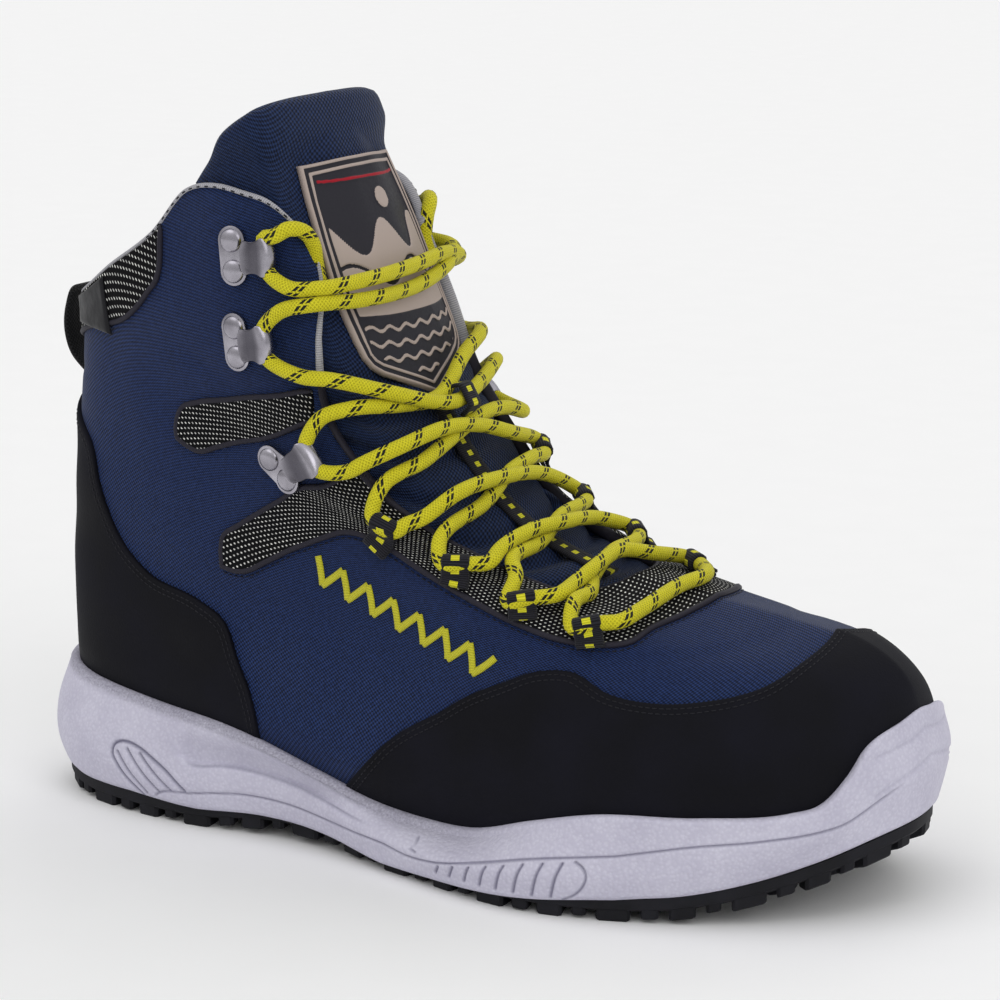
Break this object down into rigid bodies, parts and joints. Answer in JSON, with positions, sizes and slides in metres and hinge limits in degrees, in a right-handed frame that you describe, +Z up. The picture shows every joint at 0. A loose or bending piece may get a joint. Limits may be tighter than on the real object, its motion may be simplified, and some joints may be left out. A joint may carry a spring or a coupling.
{
  "type": "wading boot",
  "caption": "Right ankle-high lace-up wading boot with grey midsole, lugged outsole, metal speed hooks, webbing lace loops and padded tongue.",
  "frame": {"origin": "centre of the boot's bounding box at floor level", "axes": "+X from heel to toe, -Y toward the outer side of the foot, +Z up"},
  "size_m": [0.31, 0.1202, 0.233],
  "materials": {
    "upper_nylon": "woven nylon",
    "tongue_nylon": "woven nylon",
    "synthetic_leather": "matt",
    "mesh_panel": "open mesh",
    "midsole_foam": "matt",
    "outsole_rubber": "matt",
    "insole_board": "matt",
    "badge_rubber": "matt",
    "hook_steel": "matt tumbled",
    "lace": "round braid",
    "webbing": "woven tape"
  },
  "bodies": {
    "root": {"eyestay": "mesh_panel", "heel_counter": "synthetic_leather", "hook_lateral_lock": "hook_steel", "hook_lateral_middle": "hook_steel", "hook_lateral_top": "hook_steel", "hook_medial_lock": "hook_steel", "hook_medial_middle": "hook_steel", "hook_medial_top": "hook_steel", "insole": "insole_board", "lace_bar": "lace", "lace_cross_1": "lace", "lace_cross_2": "lace", "lace_cross_3": "lace", "lace_cross_4": "lace", "lace_cross_5": "lace", "lace_cross_6": "lace", "lace_end_lateral": "lace", "lace_end_medial": "lace", "loop_lateral_1": "webbing", "loop_lateral_2": "webbing", "loop_lateral_3": "webbing", "loop_lateral_4": "webbing", "loop_medial_1": "webbing", "loop_medial_2": "webbing", "loop_medial_3": "webbing", "loop_medial_4": "webbing", "midsole": "midsole_foam", "outsole": "outsole_rubber", "pull_loop": "webbing", "side_label": "webbing", "toe_cap": "synthetic_leather", "tongue": "tongue_nylon", "tongue_badge": "badge_rubber", "tongue_webbing": "webbing", "upper": "upper_nylon"}
  },
  "joints": []
}
